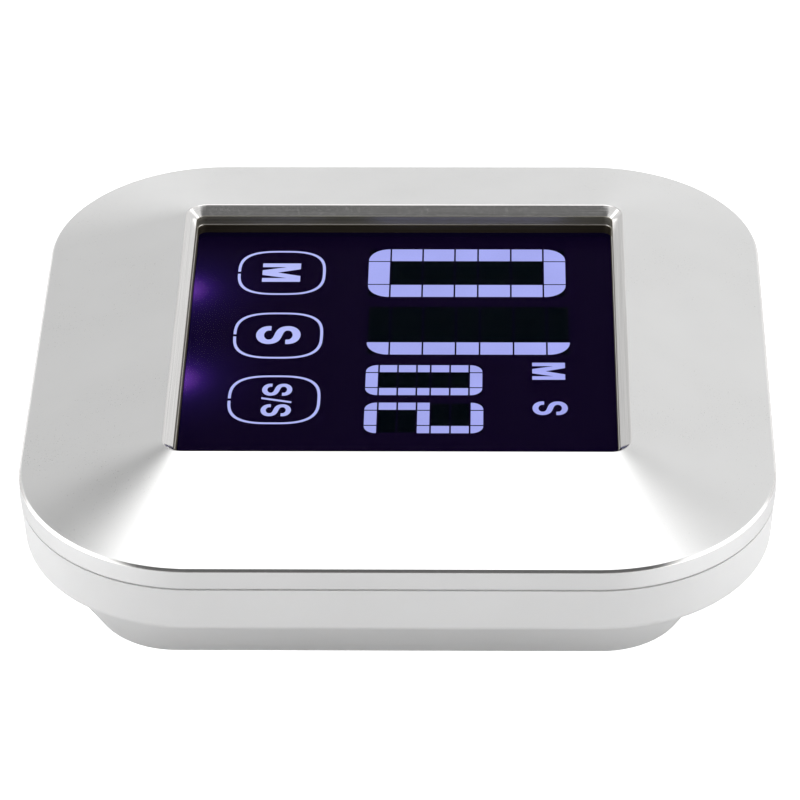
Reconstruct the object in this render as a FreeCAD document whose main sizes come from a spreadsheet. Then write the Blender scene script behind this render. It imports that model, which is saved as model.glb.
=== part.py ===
import FreeCAD, Part
import math
import os

import Sketcher
from FreeCAD import Placement, Rotation, Vector

# A square touch-screen countdown timer with a fold-out stand, as separate pieces.
#
# Frame: millimetres. Z = 0 is the flat underside of the pedestal, +Z comes out of the display,
# +Y is up for someone reading the display and +X is to the reader's right. The origin is at the
# centre of the case.

DOC = FreeCAD.newDocument("CountdownTimer")
SHEET = DOC.addObject("Spreadsheet::Sheet", "Sizes")


class Size:
    """A length that knows its value and the spreadsheet formula it comes from."""

    def __init__(self, value, text=None):
        self.value = float(value)
        self.text = text if text is not None else repr(float(value))

    def __add__(self, other):
        other = as_size(other)
        return Size(self.value + other.value, f"({self.text} + {other.text})")

    def __sub__(self, other):
        other = as_size(other)
        return Size(self.value - other.value, f"({self.text} - {other.text})")

    def __mul__(self, factor):
        return Size(self.value * factor, f"({self.text} * {factor})")

    def __truediv__(self, divisor):
        return Size(self.value / divisor, f"({self.text} / {divisor})")

    def __neg__(self):
        return Size(-self.value, f"(-{self.text})")

    def __abs__(self):
        return -self if self.value < 0 else self


def as_size(number):
    return number if isinstance(number, Size) else Size(number)


def cell(alias, value, meaning):
    """Add one driving dimension to the sheet and return it as a Size."""
    row = cell.rows = getattr(cell, "rows", 0) + 1
    SHEET.set(f"A{row}", meaning)
    SHEET.set(f"B{row}", str(value))
    SHEET.setAlias(f"B{row}", alias)
    return Size(value, f"Sizes.{alias}")


# ---- driving dimensions: the outside of the case ----
case_side = cell("case_side", 86.0, "side of the square band of the bezel")
case_corner = cell("case_corner", 20.4, "corner radius of the band")
edge_break = cell("edge_break", 0.3, "polished edge between band and front face")
rim_side = cell("rim_side", 52.8, "side of the window rim, the highest edge")
rim_corner = cell("rim_corner", 2.3, "corner radius of the window rim")
crown = cell("crown", 4.5, "rise of the front face from its outer edge to the rim")
band_height = cell("band_height", 2.8, "from the parting line to the front face")
casing_height = cell("casing_height", 6.1, "from the casing's underside to the parting line")
pedestal_height = cell("pedestal_height", 9.1, "from the table to the casing's underside")
pedestal_side = cell("pedestal_side", 67.7, "side of the pedestal where it rests")
pedestal_corner = cell("pedestal_corner", 9.8, "corner radius of the pedestal where it rests")
pedestal_flare = cell("pedestal_flare", 5.6, "how far each side leans out up to the casing")
pedestal_shift = cell("pedestal_shift", 1.0, "how far the pedestal sits towards the lower edge")
casing_draft = cell("casing_draft", 0.8, "how much smaller the casing's underside is")
casing_fillet = cell("casing_fillet", 1.2, "round on the casing's lower edge")
pedestal_fillet = cell("pedestal_fillet", 0.5, "round on the edge the pedestal rests on")
shadow_gap = cell("shadow_gap", 0.22, "height of the groove at the parting line")
wall = cell("wall", 2.0, "wall of the casing and the bezel")

# ---- window and display stack ----
chamfer_width = cell("chamfer_width", 1.2, "width of the polished window chamfer")
chamfer_depth = cell("chamfer_depth", 0.95, "depth of the polished window chamfer")
window_wall = cell("window_wall", 1.15, "upright wall of the bezel under the chamfer")
frame_wall = cell("frame_wall", 1.1, "upright wall of the black window frame")
ledge = cell("ledge", 0.15, "step between the bezel's wall and the frame's wall")
lens_side = cell("lens_side", 52.6, "side of the cover glass")
lens_thick = cell("lens_thick", 1.0, "thickness of the cover glass")
tape_thick = cell("tape_thick", 0.2, "thickness of the mounting tape and the sensor film")
polariser_thick = cell("polariser_thick", 0.2, "thickness of each polariser")
glass_thick = cell("glass_thick", 0.7, "thickness of each display glass")
display_side = cell("display_side", 54.0, "side of the display glass")
contact_ledge = cell("contact_ledge", 2.6, "front glass beyond the rear glass, for its contacts")
guide_side = cell("guide_side", 53.0, "side of the light guide")
guide_thick = cell("guide_thick", 1.5, "thickness of the light guide")
reflector_thick = cell("reflector_thick", 0.15, "thickness of the reflector sheet")
led_left = cell("led_left", 13.8, "left backlight LED from the centre line")
led_right = cell("led_right", 5.6, "right backlight LED from the centre line")

# ---- board ----
board_side = cell("board_side", 78.0, "side of the circuit board")
board_thick = cell("board_thick", 1.0, "thickness of the circuit board")
boss_x = cell("boss_x", 31.3, "case screw bosses from the centre line, along X")
boss_y = cell("boss_y", 24.0, "case screw bosses from the centre line, along Y")
boss_radius = cell("boss_radius", 2.2, "radius of a case screw boss")
post_x = cell("post_x", 35.8, "board posts from the centre line, along X")
post_y = cell("post_y", 17.0, "board posts from the centre line, along Y")
post_radius = cell("post_radius", 2.0, "radius of a board post")
screw_radius = cell("screw_radius", 1.0, "radius of a case screw's shank")
small_screw_radius = cell("small_screw_radius", 0.8, "radius of a board screw's shank")
running_gap = cell("running_gap", 0.05, "radial clearance where one piece turns or slides")
fit_gap = cell("fit_gap", 0.1, "clearance between pieces that are dropped together")

# ---- battery bay ----
cell_radius = cell("cell_radius", 5.25, "radius of an AAA cell")
cell_length = cell("cell_length", 44.5, "length of an AAA cell")
nub_radius = cell("nub_radius", 1.9, "radius of the cell's positive nub")
nub_length = cell("nub_length", 0.8, "length of the cell's positive nub")
cell_pitch = cell("cell_pitch", 10.8, "distance between the two cells' axes")
bay_centre = cell("bay_centre", 20.4, "battery bay below the centre line")
bay_length = cell("bay_length", 50.6, "inside length of the battery bay")
bay_width = cell("bay_width", 21.8, "inside width of the battery bay")
contact_thick = cell("contact_thick", 0.4, "thickness of the battery contact plates")
wire_radius = cell("wire_radius", 0.25, "radius of the contact springs' wire")
coil_radius = cell("coil_radius", 3.1, "radius of the contact springs at their base")
coil_pitch = cell("coil_pitch", 1.25, "pitch of the contact springs")
door_thick = cell("door_thick", 1.5, "thickness of the battery door")
door_width = cell("door_width", 57.0, "visible width of the battery door")
tongue = cell("tongue", 0.9, "how far the door's tongues run into the side grooves")
door_gap = cell("door_gap", 0.12, "clearance of the door in its channel")

# ---- stand ----
pivot_y = cell("pivot_y", 26.6, "stand pivot above the centre line")
pivot_z = cell("pivot_z", 2.1, "stand pivot above the table")
barrel_radius = cell("barrel_radius", 1.9, "radius of the stand's barrels")
trunnion_radius = cell("trunnion_radius", 1.25, "radius of the moulded trunnions")
trunnion_length = cell("trunnion_length", 1.6, "length of a trunnion")
stand_width = cell("stand_width", 50.0, "width of the stand over its legs")
leg_width = cell("leg_width", 6.5, "width of a stand leg")
stand_thick = cell("stand_thick", 2.3, "thickness of the stand")
stand_foot = cell("stand_foot", 3.0, "the folded stand's foot below the centre line")
stand_inset = cell("stand_inset", 0.25, "how far the folded stand lies above the table")
stand_gap = cell("stand_gap", 0.35, "clearance around the folded stand")
stand_round = cell("stand_round", 2.5, "corner radius of the stand's foot")

# ---- small parts ----
magnet_radius = cell("magnet_radius", 6.0, "radius of a magnet disc")
magnet_thick = cell("magnet_thick", 2.0, "thickness of a magnet disc")
magnet_x = cell("magnet_x", 9.4, "magnets from the centre line")
magnet_y = cell("magnet_y", 13.5, "magnets above the centre line")
buzzer_radius = cell("buzzer_radius", 10.0, "radius of the buzzer's brass disc")
ceramic_radius = cell("ceramic_radius", 7.0, "radius of the buzzer's ceramic disc")
disc_thick = cell("disc_thick", 0.2, "thickness of each buzzer disc")
switch_y = cell("switch_y", 38.0, "slide switch above the centre line")
switch_travel = cell("switch_travel", 3.0, "travel of the switch knob")

DOC.recompute()

# ---- levels, from the table up ----
casing_low = pedestal_height
parting = casing_low + casing_height
face_edge = parting + band_height
band_top = face_edge - edge_break
rim = face_edge + crown
chamfer_low = rim - chamfer_depth
frame_top = chamfer_low - window_wall
lens_top = frame_top - frame_wall
lens_low = lens_top - lens_thick
film_low = lens_low - tape_thick
front_film_low = film_low - fit_gap - polariser_thick
front_glass_low = front_film_low - glass_thick
rear_glass_low = front_glass_low - glass_thick
rear_film_low = rear_glass_low - polariser_thick
guide_low = rear_film_low - fit_gap - guide_thick
reflector_low = guide_low - reflector_thick
board_top = reflector_low - fit_gap / 2
board_low = board_top - board_thick
floor_top = casing_low + wall * 0.9

# ---- sizes that follow from the driving ones ----
face_side = case_side - edge_break * 2
opening_side = rim_side - chamfer_width * 2
opening_corner = rim_corner - chamfer_width
view_side = opening_side - ledge * 2
cavity_side = case_side - wall * 2
cavity_corner = case_corner - wall
casing_side = case_side - Size(0.1)
pedestal_top_side = pedestal_side + pedestal_flare * 2
pedestal_y = -pedestal_shift
cell_z = door_thick + fit_gap * 2 + cell_radius
bay_roof_low = cell_z + cell_radius + fit_gap / 2
bay_y = -bay_centre
bay_high_y = bay_y + bay_width / 2
stand_top = stand_inset + stand_thick
recess_depth = stand_top + stand_gap
recess_low_y = -stand_foot - stand_gap
recess_high_y = pivot_y + barrel_radius + stand_gap
recess_length = recess_high_y - recess_low_y
recess_mid_y = (recess_high_y + recess_low_y) / 2
slot_top = pivot_z + barrel_radius + stand_gap / 2
chamber_floor = slot_top + Size(1.2)
FOUR = [(1, 1), (1, -1), (-1, -1), (-1, 1)]


# ---- outlines: each returns a function that draws in a sketch ----
def pin_point(sketch, index, vertex, x, y):
    """Tie a sketch point to the origin by its two coordinates."""
    for kind, axis, size in (("DistanceX", -2, x), ("DistanceY", -1, y)):
        if abs(size.value) < 1e-9:
            sketch.addConstraint(Sketcher.Constraint("PointOnObject", index, vertex, axis))
            continue
        ends = (-1, 1, index, vertex) if size.value > 0 else (index, vertex, -1, 1)
        place = sketch.addConstraint(Sketcher.Constraint(kind, *ends, abs(size.value)))
        sketch.setExpression(f"Constraints[{place}]", abs(size).text)


def polygon(*corners):
    """A closed outline with straight sides through the given corners."""
    points = [(as_size(x), as_size(y)) for x, y in corners]

    def draw(sketch):
        first = sketch.GeometryCount
        for here, there in zip(points, points[1:] + points[:1]):
            ends = [Vector(x.value, y.value, 0) for x, y in (here, there)]
            sketch.addGeometry(Part.LineSegment(*ends), False)
        for step in range(len(points)):
            after = first + (step + 1) % len(points)
            sketch.addConstraint(Sketcher.Constraint("Coincident", first + step, 2, after, 1))
        for step, (x, y) in enumerate(points):
            pin_point(sketch, first + step, 1, x, y)
    return draw


def rectangle(width, depth, x=0, y=0):
    width, depth, x, y = (as_size(item) for item in (width, depth, x, y))
    left, right = x - width / 2, x + width / 2
    low, high = y - depth / 2, y + depth / 2
    return polygon((left, low), (right, low), (right, high), (left, high))


def rounded(width, depth, radius, x=0, y=0):
    """A rectangle with one radius on all four corners."""
    width, depth, radius, x, y = (as_size(item) for item in (width, depth, radius, x, y))

    def draw(sketch):
        first = sketch.GeometryCount
        reach = {1: (x + width / 2, y + depth / 2), -1: (x - width / 2, y - depth / 2)}
        for turn, (side_x, side_y) in enumerate(FOUR):
            centre = (reach[side_x][0] - radius * side_x, reach[side_y][1] - radius * side_y)
            middle = Vector(centre[0].value, centre[1].value, 0)
            circle = Part.Circle(middle, Vector(0, 0, 1), radius.value)
            start = -math.pi / 2 * turn
            sketch.addGeometry(Part.ArcOfCircle(circle, start, start + math.pi / 2), False)
            pin_point(sketch, first + turn, 3, *centre)
        arcs = [sketch.Geometry[first + turn] for turn in range(4)]
        for turn in range(4):
            ends = (arcs[turn].StartPoint, arcs[(turn + 1) % 4].EndPoint)
            line = sketch.addGeometry(Part.LineSegment(*ends), False)
            after = first + (turn + 1) % 4
            sketch.addConstraint(Sketcher.Constraint("Tangent", first + turn, 1, line, 1))
            sketch.addConstraint(Sketcher.Constraint("Tangent", line, 2, after, 2))
        size = sketch.addConstraint(Sketcher.Constraint("Radius", first, radius.value))
        sketch.setExpression(f"Constraints[{size}]", radius.text)
    return draw


def circle(radius, x=0, y=0):
    radius, x, y = (as_size(item) for item in (radius, x, y))

    def draw(sketch):
        middle = Vector(x.value, y.value, 0)
        ring = sketch.addGeometry(Part.Circle(middle, Vector(0, 0, 1), radius.value), False)
        pin_point(sketch, ring, 3, x, y)
        size = sketch.addConstraint(Sketcher.Constraint("Radius", ring, radius.value))
        sketch.setExpression(f"Constraints[{size}]", radius.text)
    return draw


def several(*outlines):
    """Draw some outlines in one sketch."""
    def draw(sketch):
        for outline in outlines:
            outline(sketch)
    return draw


def at_corners(outline, x, y, *sizes):
    """The same outline at the four places (+-x, +-y)."""
    return several(*(outline(*sizes, x * side_x, y * side_y) for side_x, side_y in FOUR))


class Piece:
    """One body of the document, grown by sketched features."""

    def __init__(self, label):
        self.body = DOC.addObject("PartDesign::Body", label)
        self.body.Label = label
        self.body.AllowCompound = True
        PIECES.append(self.body)

    def sketch(self, outline, level, plane="XY_Plane"):
        made = self.body.newObject("Sketcher::SketchObject", self.body.Label + "_sketch")
        origin = next(item for item in self.body.Origin.OriginFeatures if item.Role == plane)
        made.AttachmentSupport = [(origin, "")]
        made.MapMode = "FlatFace"
        made.setExpression("AttachmentOffset.Base.z", as_size(level).text)
        outline(made)
        return made

    def extrude(self, kind, outline, start, length, plane):
        feature = self.body.newObject("PartDesign::" + kind, self.body.Label + "_" + kind.lower())
        feature.Profile = self.sketch(outline, start, plane)
        feature.setExpression("Length", as_size(length).text)
        return self.done(feature)

    def add(self, outline, low, high, plane="XY_Plane"):
        """Pad from one level to a higher one."""
        return self.extrude("Pad", outline, low, as_size(high) - low, plane)

    def flare(self, outline, low, high, growth):
        """Pad from one level to a higher one, each side leaning out by the growth."""
        height = as_size(high) - low
        feature = self.extrude("Pad", outline, low, height, "XY_Plane")
        feature.setExpression("TaperAngle", f"atan({growth.text} / {height.text})")
        return self.done(feature)

    def cut(self, outline, low, high, plane="XY_Plane"):
        """Pocket down from the higher level to the lower one."""
        before = self.body.Shape.Volume
        feature = self.extrude("Pocket", outline, high, as_size(high) - low, plane)
        assert feature.Shape.Volume < before - 1e-6, self.body.Label + ": a pocket cut nothing"
        return feature

    def loft(self, kind, lower, low, upper, high):
        feature = self.body.newObject("PartDesign::" + kind, self.body.Label + "_loft")
        feature.Profile = self.sketch(lower, low)
        feature.Sections = [(self.sketch(upper, high), [""])]
        feature.Ruled = True
        return self.done(feature)

    def turn(self, outline):
        """Spin an outline in the Y = 0 plane a full turn about Z."""
        feature = self.body.newObject("PartDesign::Revolution", self.body.Label + "_turned")
        sketch = self.sketch(outline, 0, "XZ_Plane")
        feature.Profile = sketch
        feature.ReferenceAxis = (sketch, ["V_Axis"])
        feature.Angle = 360
        return self.done(feature)

    def soften(self, kind, size, test):
        """Fillet or chamfer the edges that pass a test."""
        DOC.recompute()
        names = [f"Edge{place}" for place, edge in enumerate(self.body.Shape.Edges, 1)
                 if test(edge)]
        base = self.body.Tip
        feature = self.body.newObject("PartDesign::" + kind, self.body.Label + "_soft")
        feature.Base = (base, names)
        prop = "Radius" if kind == "Fillet" else "Size"
        feature.setExpression(prop, as_size(size).text)
        return self.done(feature)

    def move(self, x=0, y=0, z=0, rotation=None):
        self.body.Placement = Placement(Vector(0, 0, 0), rotation or Rotation())
        for axis, place in zip("xyz", (x, y, z)):
            self.body.setExpression("Placement.Base." + axis, as_size(place).text)

    def done(self, feature):
        DOC.recompute()
        return feature


PIECES = []


def edge_lies_at(level):
    """A test for level edges at a height."""
    level = as_size(level).value

    def test(edge):
        box = edge.BoundBox
        return max(abs(box.ZMin - level), abs(box.ZMax - level)) < 1e-4
    return test


def foot_corners(height, y):
    """A test for straight upright edges of one height that stand at one Y."""
    def test(edge):
        box = edge.BoundBox
        tall = abs(box.ZLength - height.value) < 1e-4
        return tall and max(abs(box.YMin - y.value), abs(box.YMax - y.value)) < 1e-4
    return test


def box(label, width, depth, low, high, x=0, y=0, corner=None):
    """A plain or round-cornered slab."""
    piece = Piece(label)
    outline = rounded(width, depth, corner, x, y) if corner else rectangle(width, depth, x, y)
    piece.add(outline, low, high)
    return piece


# ---- front ----
def bezel():
    """Satin metal frame: band, crowned face, polished chamfer, bosses and posts underneath."""
    piece = Piece("bezel")
    band = rounded(case_side, case_side, case_corner)
    face = rounded(face_side, face_side, case_corner - edge_break)
    rim_line = rounded(rim_side, rim_side, rim_corner)
    opening = rounded(opening_side, opening_side, opening_corner)
    piece.add(band, parting + shadow_gap, band_top)
    piece.loft("AdditiveLoft", band, band_top, face, face_edge)
    piece.loft("AdditiveLoft", face, face_edge, rim_line, rim)
    slope = crown.value / (face_side.value - rim_side.value) * 2
    skin = wall * 0.93
    knee = (rim_side.value / 2 + (chamfer_depth + window_wall - skin).value / slope)
    inner_side = Size(2 * knee)
    knee_low = Size(face_edge.value + (face_side - cavity_side).value / 2 * slope) - skin
    hollow = rounded(cavity_side, cavity_side, cavity_corner)
    piece.cut(hollow, parting, knee_low)
    upper = rounded(inner_side, inner_side, rim_corner)
    piece.loft("SubtractiveLoft", hollow, knee_low, upper, frame_top)
    piece.cut(opening, frame_top, rim)
    piece.loft("SubtractiveLoft", opening, chamfer_low, rim_line, rim)
    piece.add(at_corners(circle, boss_x, boss_y, boss_radius), floor_top,
              face_edge + Size(2.1))
    piece.add(at_corners(circle, post_x, post_y, post_radius), board_top,
              face_edge + Size(0.8))
    pilot = screw_radius + running_gap
    piece.cut(at_corners(circle, boss_x, boss_y, pilot), floor_top, knee_low)
    small_pilot = small_screw_radius + running_gap
    piece.cut(at_corners(circle, post_x, post_y, small_pilot), board_top, knee_low)


def window_frame():
    """Black inner frame: a lip over the glass and a flange under the bezel."""
    piece = Piece("window_frame")
    lip_side = opening_side + wall
    flange_side = lip_side + Size(4.0)
    flange_top = frame_top - Size(0.8)
    piece.add(rounded(flange_side, flange_side, rim_corner * 1.5), film_low, flange_top)
    piece.add(rounded(lip_side, lip_side, rim_corner), flange_top, frame_top)
    pocket_side = lens_side + fit_gap * 2
    piece.cut(rounded(pocket_side, pocket_side, rim_corner), film_low, lens_top)
    piece.cut(rounded(view_side, view_side, opening_corner - ledge), lens_top, frame_top)


def glass_stack():
    """Cover glass, its tape and sensor film, and the four layers of the display."""
    box("touch_lens", lens_side, lens_side, lens_low, lens_top, corner=rim_corner - fit_gap)
    film_side = view_side - ledge * 2
    box("touch_sensor", film_side, film_side, film_low, lens_low, corner=opening_corner)
    tape = Piece("lens_tape")
    tape.add(rounded(lens_side, lens_side, rim_corner - fit_gap), film_low, lens_low)
    tape.cut(rounded(view_side, view_side, opening_corner), film_low, lens_low)
    polariser_side = display_side - wall
    box("lcd_front_polariser", polariser_side, polariser_side, front_film_low,
        film_low - fit_gap)
    box("lcd_front_glass", display_side, display_side + contact_ledge, front_glass_low,
        front_film_low, y=contact_ledge / 2)
    box("lcd_rear_glass", display_side, display_side, rear_glass_low, front_glass_low)
    box("lcd_rear_polariser", polariser_side, polariser_side, rear_film_low, rear_glass_low)


def backlight():
    """Light guide with a reflector behind it and two side-firing LEDs at its lower edge."""
    guide = box("light_guide", guide_side, guide_side, guide_low, guide_low + guide_thick)
    led_y = -(guide_side / 2) - Size(0.5)
    led_width, led_depth = Size(3.4), Size(0.9)
    notch = rectangle(led_width + fit_gap * 2, 0.4, -led_left, -(guide_side / 2) + Size(0.2))
    other = rectangle(led_width + fit_gap * 2, 0.4, led_right, -(guide_side / 2) + Size(0.2))
    guide.cut(several(notch, other), guide_low, guide_low + guide_thick)
    box("reflector", guide_side, guide_side - Size(1.2), reflector_low, guide_low)
    leds = Piece("backlight_leds")
    places = (-led_left, led_right)
    leds.add(several(*(rectangle(led_width, led_depth, x, led_y) for x in places)),
             board_top, guide_low + guide_thick * 0.8)
    lips = (rectangle(led_width - Size(0.8), 0.2, x, led_y + led_depth / 2) for x in places)
    leds.add(several(*lips), board_top + Size(0.3), guide_low + guide_thick * 0.6)


def lcd_holder():
    """White frame that carries the light guide and the display above the board."""
    piece = Piece("lcd_holder")
    outer = display_side + Size(4.0)
    middle = contact_ledge / 2
    top = film_low - fit_gap
    piece.add(rounded(outer, outer + contact_ledge, 5.0, 0, middle), board_top, top)
    glass = display_side + fit_gap * 2
    piece.cut(rectangle(glass, glass + contact_ledge, 0, middle), front_glass_low, top)
    piece.cut(rectangle(glass, glass), rear_film_low, front_glass_low)
    room = guide_side + fit_gap * 2
    piece.cut(rectangle(room, room), board_top, rear_film_low)
    led_room = Size(3.8)
    led_y = -(guide_side / 2) - Size(0.6)
    windows = (rectangle(led_room, 1.2, x, led_y) for x in (-led_left, led_right))
    piece.cut(several(*windows), board_top, rear_film_low)
    strip_y = display_side / 2 + contact_ledge / 2 + Size(0.15)
    piece.cut(rectangle(display_side - Size(3.6), 1.7, 0, strip_y), board_top, front_glass_low)


def contact_strip():
    """Striped rubber connector between the board and the front glass's contacts."""
    strip_y = display_side / 2 + contact_ledge / 2 + Size(0.15)
    box("lcd_contact_strip", display_side - Size(4.0), 1.5, board_top, front_glass_low,
        y=strip_y)


# ---- board ----
def main_board():
    """Circuit board with holes for bosses and screws and slots for the battery tabs."""
    piece = Piece("main_board")
    piece.add(rounded(board_side, board_side, case_corner - wall - Size(1.5)),
              board_low, board_top)
    boss_hole = boss_radius + Size(0.5)
    piece.cut(at_corners(circle, boss_x, boss_y, boss_hole), board_low, board_top)
    hole = small_screw_radius + fit_gap
    piece.cut(at_corners(circle, post_x, post_y, hole), board_low, board_top)
    piece.cut(tab_slots(), board_low, board_top)


def tab_slots():
    """Slots for the two contact tabs, in line with the contacts at the bay's right end."""
    x = bay_length / 2 - contact_thick / 2 - fit_gap / 2
    width = contact_thick + Size(0.3)
    return several(*(rectangle(width, 3.4, x, y) for y in (upper_cell_y(), lower_cell_y())))


def upper_cell_y():
    return bay_y + cell_pitch / 2


def lower_cell_y():
    return bay_y - cell_pitch / 2


def board_pieces():
    """Everything soldered or bonded to the underside of the board."""
    low = board_low
    chip = Piece("timer_chip")
    dome = ((0, low), (5.2, low), (5.0, low - Size(0.4)), (3.6, low - Size(1.1)),
            (1.8, low - Size(1.4)), (0, low - Size(1.45)))
    chip.turn(polygon(*dome))
    chip.move(x=-20, y=20)
    touch = Piece("touch_chip")
    touch.add(rectangle(4.0, 9.9, 21, 21), low - Size(1.5), low - Size(0.1))
    legs = [rectangle(6.2, 0.4, 21, 21 + step * 1.27) for step in (-3, -2, -1, 0, 1, 2, 3)]
    touch.add(several(*legs), low - Size(0.35), low)
    crystal = Piece("crystal")
    can = ((0, 0), (1.0, 0), (1.0, 6.0), (0, 6.0))
    crystal.turn(polygon(*can))
    crystal.move(x=-31, y=4, z=low - Size(1.0), rotation=Rotation(Vector(1, 0, 0), -90))
    parts = Piece("board_parts")
    spots = ((-30, 14), (-27, 14), (-27, 27), (27, 9), (30, 9), (12, 30), (15, 30), (26, 29))
    chips = (rectangle(1.6, 0.8, x, y) for x, y in spots)
    parts.add(several(*chips), low - Size(0.55), low)


def slide_switch():
    """On/off switch on the board and its knob through the casing's underside."""
    body = Piece("switch_body")
    body_low = floor_top + Size(0.25)
    body.add(rectangle(9.0, 3.8, 0, switch_y), body_low, board_low)
    body.cut(rectangle(switch_travel + Size(1.8), 1.4, 0, switch_y),
             body_low, body_low + Size(1.0))
    knob = Piece("switch_knob")
    rest_x = -(switch_travel / 2)
    knob.add(rectangle(1.4, 1.2, rest_x, switch_y), casing_low - Size(0.2),
             body_low + Size(0.8))
    knob.add(rectangle(2.8, 2.2, rest_x, switch_y), casing_low - Size(0.9),
             casing_low + Size(1.4))
    grooves = (rectangle(0.35, 2.2, rest_x + Size(step), switch_y) for step in (-0.8, 0, 0.8))
    knob.cut(several(*grooves), casing_low - Size(0.9), casing_low - Size(0.6))


def screws(label, x, y, shank, head_low, head_thick, tip):
    """Four pan-head screws pointing up, each with a crossed drive."""
    piece = Piece(label)
    head = shank * 1.85
    head_top = head_low + head_thick
    piece.add(at_corners(circle, x, y, head), head_low, head_top)
    piece.add(at_corners(circle, x, y, shank), head_top, tip)
    arm, slot = head * 1.3, shank * 0.35
    drive = [rectangle(arm, slot, x * sx, y * sy) for sx, sy in FOUR]
    cross = [rectangle(slot, arm, x * sx, y * sy) for sx, sy in FOUR]
    depth = head_thick * 0.6
    piece.cut(several(*drive), head_low, head_low + depth)
    piece.cut(several(*cross), head_low, head_low + depth)


# ---- rear ----
def rear_housing():
    """White casing with its pedestal, battery bay, stand recess and buzzer chamber."""
    piece = Piece("rear_housing")
    lower_side = casing_side - casing_draft
    lower = rounded(lower_side, lower_side, case_corner - casing_draft / 2)
    base = rounded(pedestal_side, pedestal_side, pedestal_corner, 0, pedestal_y)
    piece.flare(lower, casing_low, parting, casing_draft / 2)
    piece.soften("Fillet", casing_fillet, edge_lies_at(casing_low))
    lip_side = case_side - Size(1.2)
    piece.add(rounded(lip_side, lip_side, case_corner - Size(0.6)), parting,
              parting + shadow_gap)
    piece.flare(base, 0, casing_low, pedestal_flare)
    piece.soften("Fillet", pedestal_fillet, edge_lies_at(0))
    piece.cut(rounded(cavity_side, cavity_side, cavity_corner), floor_top,
              parting + shadow_gap)
    roof_width = bay_width + wall
    piece.add(rectangle(bay_length + wall, roof_width, 0, bay_y), floor_top,
              board_low - fit_gap)
    cut_battery_bay(piece)
    cut_stand_recess(piece)
    cut_chamber(piece)
    cut_fastener_holes(piece)


def cut_battery_bay(piece):
    """Bay for two cells, the door's channel and the slots for the contact tabs."""
    piece.cut(rectangle(bay_length, bay_width, 0, bay_y), 0, bay_roof_low)
    outer_y = pedestal_y - pedestal_top_side / 2 - Size(1)
    channel_end = bay_high_y + Size(2.0) + door_gap
    length = channel_end - outer_y
    middle = (channel_end + outer_y) / 2
    narrow = door_width + door_gap * 2
    wide = narrow + tongue * 2
    tongue_low = door_thick / 2 - door_gap / 2
    piece.cut(rectangle(narrow, length, 0, middle), 0, door_thick + door_gap)
    piece.cut(rectangle(wide, length, 0, middle), tongue_low, door_thick + door_gap)
    piece.cut(tab_slots(), bay_roof_low, board_low)


def cut_stand_recess(piece):
    """U-shaped recess for the folded stand, with sockets for its trunnions."""
    outer = stand_width + stand_gap * 2
    inner = stand_width - leg_width * 2 - stand_gap * 2
    island_low = -stand_foot + leg_width + stand_gap
    half, core = outer / 2, inner / 2
    u_shape = polygon((-half, recess_low_y), (half, recess_low_y), (half, recess_high_y),
                      (core, recess_high_y), (core, island_low), (-core, island_low),
                      (-core, recess_high_y), (-half, recess_high_y))
    piece.cut(u_shape, 0, recess_depth)
    piece.soften("Fillet", stand_round + stand_gap, foot_corners(recess_depth, recess_low_y))
    barrel_room = barrel_radius * 2 + stand_gap * 2
    leg = leg_width + stand_gap * 2
    leg_x = stand_width / 2 - leg_width / 2
    rooms = (rectangle(leg, barrel_room, leg_x * side, pivot_y) for side in (1, -1))
    piece.cut(several(*rooms), 0, slot_top)
    notch_y = recess_low_y - Size(1.0)
    piece.cut(rounded(16, 3.0, 1.2, 0, notch_y), 0, recess_depth * 0.8)
    for side in (1, -1):
        start = (half + trunnion_length + fit_gap) if side > 0 else -half
        socket = circle(trunnion_radius + running_gap, pivot_y, pivot_z)
        piece.cut(socket, start - trunnion_length - fit_gap, start, plane="YZ_Plane")


def cut_chamber(piece):
    """Hollows for the buzzer and beside the bay, with towers for the case screws."""
    chamber_low_y = bay_high_y + Size(2.4)
    chamber_high_y = pedestal_y + pedestal_side / 2 - wall
    depth = chamber_high_y - chamber_low_y
    middle = (chamber_high_y + chamber_low_y) / 2
    piece.cut(rounded(pedestal_side, depth, 5.0, 0, middle), chamber_floor, floor_top)
    ring = several(circle(buzzer_radius + Size(0.6), 0, magnet_y),
                   circle(buzzer_radius - Size(1.2), 0, magnet_y))
    piece.add(ring, chamber_floor, chamber_floor + Size(1.0))
    seat = circle(buzzer_radius + fit_gap / 2, 0, magnet_y)
    piece.cut(seat, chamber_floor + Size(0.6), chamber_floor + Size(1.0))
    side_x = bay_length / 2 + Size(4.0)
    side_y = bay_y + Size(5.0)
    sides = (rounded(3.4, 8.0, 1.0, side_x * side, side_y) for side in (1, -1))
    piece.cut(several(*sides), door_thick + Size(1.5), floor_top)
    tower = screw_radius * 1.85 + Size(1.4)
    piece.add(at_corners(circle, boss_x, boss_y, tower), chamber_floor, floor_top)


def cut_fastener_holes(piece):
    """Screw holes and wells, magnet pockets, sound holes and the switch's notch and slot."""
    piece.cut(at_corners(circle, boss_x, boss_y, screw_radius + fit_gap),
              casing_low, floor_top)
    head = screw_radius * 1.85 + fit_gap * 2
    piece.cut(at_corners(circle, boss_x, boss_y, head), 0, casing_low + Size(1.0))
    pockets = (circle(magnet_radius + fit_gap, magnet_x * side, magnet_y) for side in (1, -1))
    piece.cut(several(*pockets), 0, magnet_thick + fit_gap * 2)
    holes = (circle(0.8, 0, magnet_y + Size(step)) for step in (-3.2, 0, 3.2))
    piece.cut(several(*holes), 0, chamber_floor)
    piece.cut(rounded(13, 8, 1.5, 0, switch_y + Size(2)), 0, casing_low)
    slot = rectangle(switch_travel + Size(3.2), 2.5, 0, switch_y)
    piece.cut(slot, casing_low, floor_top)


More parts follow.
